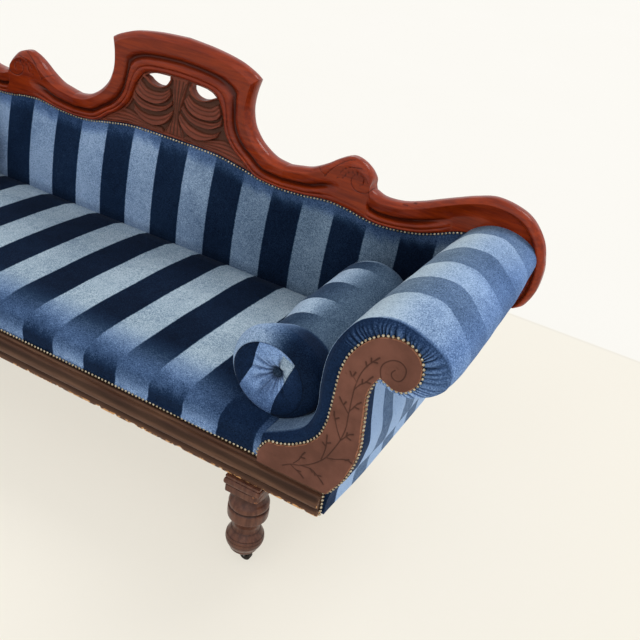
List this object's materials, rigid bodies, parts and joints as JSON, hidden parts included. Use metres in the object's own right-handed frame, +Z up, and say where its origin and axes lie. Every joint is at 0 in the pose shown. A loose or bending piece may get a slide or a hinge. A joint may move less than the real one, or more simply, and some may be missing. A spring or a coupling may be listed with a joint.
{
  "type": "double-ended show-wood settee",
  "caption": "Double-ended settee with a carved and pierced crest, scrolled arms, loose bolsters, striped velvet and turned legs on casters.",
  "frame": {"origin": "On the floor, at the middle of the footprint.", "axes": "+X along the seat to the sitter's left, +Y towards the back, +Z up."},
  "size_m": [2.0716, 0.6652, 0.899],
  "materials": {
    "polished_show_wood": "french polished, red brown",
    "worn_dark_wood": "dark waxed, worn at the edges",
    "frame_wood": "sawn, unfinished",
    "striped_velvet": "velvet in blue stripes",
    "plain_cloth": "plain woven lining",
    "steel": "bright wire and rod",
    "blackened_metal": "dark, worn"
  },
  "bodies": {
    "settee": {"arm_pad_left": "striped_velvet", "arm_pad_right": "striped_velvet", "arm_rail_left": "frame_wood", "arm_rail_right": "frame_wood", "arm_stump_front_left": "frame_wood", "arm_stump_front_right": "frame_wood", "arm_stump_rear_left": "frame_wood", "arm_stump_rear_right": "frame_wood", "back_lower_rail": "frame_wood", "back_post_left": "frame_wood", "back_post_right": "frame_wood", "back_rail_left": "polished_show_wood", "back_rail_right": "polished_show_wood", "back_stay_left": "frame_wood", "back_stay_right": "frame_wood", "caster_socket_front_left": "blackened_metal", "caster_socket_front_right": "blackened_metal", "caster_socket_rear_left": "blackened_metal", "caster_socket_rear_right": "blackened_metal", "crest_panel": "polished_show_wood", "crest_rail": "polished_show_wood", "dust_cover": "plain_cloth", "end_rail_left": "frame_wood", "end_rail_right": "frame_wood", "front_rail": "worn_dark_wood", "inside_back": "striped_velvet", "leg_front_left": "worn_dark_wood", "leg_front_right": "worn_dark_wood", "leg_rear_left": "worn_dark_wood", "leg_rear_right": "worn_dark_wood", "outside_arm_left": "striped_velvet", "outside_arm_right": "striped_velvet", "outside_back": "plain_cloth", "rear_rail": "worn_dark_wood", "scroll_plaque_left": "worn_dark_wood", "scroll_plaque_right": "worn_dark_wood", "seat": "striped_velvet", "seat_brace": "frame_wood", "seat_springs": "steel", "spring_cloth": "plain_cloth", "webbing": "plain_cloth"},
    "bolster_left_body": {"bolster_left": "striped_velvet", "bolster_button_front_left": "striped_velvet", "bolster_button_rear_left": "striped_velvet"},
    "bolster_right_body": {"bolster_right": "striped_velvet", "bolster_button_front_right": "striped_velvet", "bolster_button_rear_right": "striped_velvet"},
    "horn_front_left": {"caster_horn_front_left": "blackened_metal", "caster_axle_front_left": "steel"},
    "wheel_front_left": {"caster_wheel_front_left": "blackened_metal"},
    "horn_front_right": {"caster_horn_front_right": "blackened_metal", "caster_axle_front_right": "steel"},
    "wheel_front_right": {"caster_wheel_front_right": "blackened_metal"},
    "horn_rear_left": {"caster_horn_rear_left": "blackened_metal", "caster_axle_rear_left": "steel"},
    "wheel_rear_left": {"caster_wheel_rear_left": "blackened_metal"},
    "horn_rear_right": {"caster_horn_rear_right": "blackened_metal", "caster_axle_rear_right": "steel"},
    "wheel_rear_right": {"caster_wheel_rear_right": "blackened_metal"}
  },
  "joints": [
    {"name": "bolster_left_lift", "type": "slide", "parent": "settee", "child": "bolster_left_body", "axis": [0, 0, 1], "range_m": [0, 0.36]},
    {"name": "bolster_right_lift", "type": "slide", "parent": "settee", "child": "bolster_right_body", "axis": [0, 0, 1], "range_m": [0, 0.36]},
    {"name": "caster_swivel_front_left", "type": "hinge", "parent": "settee", "child": "horn_front_left", "pos_m": [-0.66459, -0.28878, 0.03], "axis": [0, 0, 1], "continuous": true},
    {"name": "caster_roll_front_left", "type": "hinge", "parent": "horn_front_left", "child": "wheel_front_left", "pos_m": [-0.65559, -0.28878, 0.01338], "axis": [0, 1, 0], "continuous": true},
    {"name": "caster_swivel_front_right", "type": "hinge", "parent": "settee", "child": "horn_front_right", "pos_m": [0.66459, -0.28878, 0.03], "axis": [0, 0, 1], "continuous": true},
    {"name": "caster_roll_front_right", "type": "hinge", "parent": "horn_front_right", "child": "wheel_front_right", "pos_m": [0.67359, -0.28878, 0.01338], "axis": [0, 1, 0], "continuous": true},
    {"name": "caster_swivel_rear_left", "type": "hinge", "parent": "settee", "child": "horn_rear_left", "pos_m": [-0.66459, 0.24752, 0.03], "axis": [0, 0, 1], "continuous": true},
    {"name": "caster_roll_rear_left", "type": "hinge", "parent": "horn_rear_left", "child": "wheel_rear_left", "pos_m": [-0.65559, 0.24752, 0.01338], "axis": [0, 1, 0], "continuous": true},
    {"name": "caster_swivel_rear_right", "type": "hinge", "parent": "settee", "child": "horn_rear_right", "pos_m": [0.66459, 0.24752, 0.03], "axis": [0, 0, 1], "continuous": true},
    {"name": "caster_roll_rear_right", "type": "hinge", "parent": "horn_rear_right", "child": "wheel_rear_right", "pos_m": [0.67359, 0.24752, 0.01338], "axis": [0, 1, 0], "continuous": true}
  ]
}
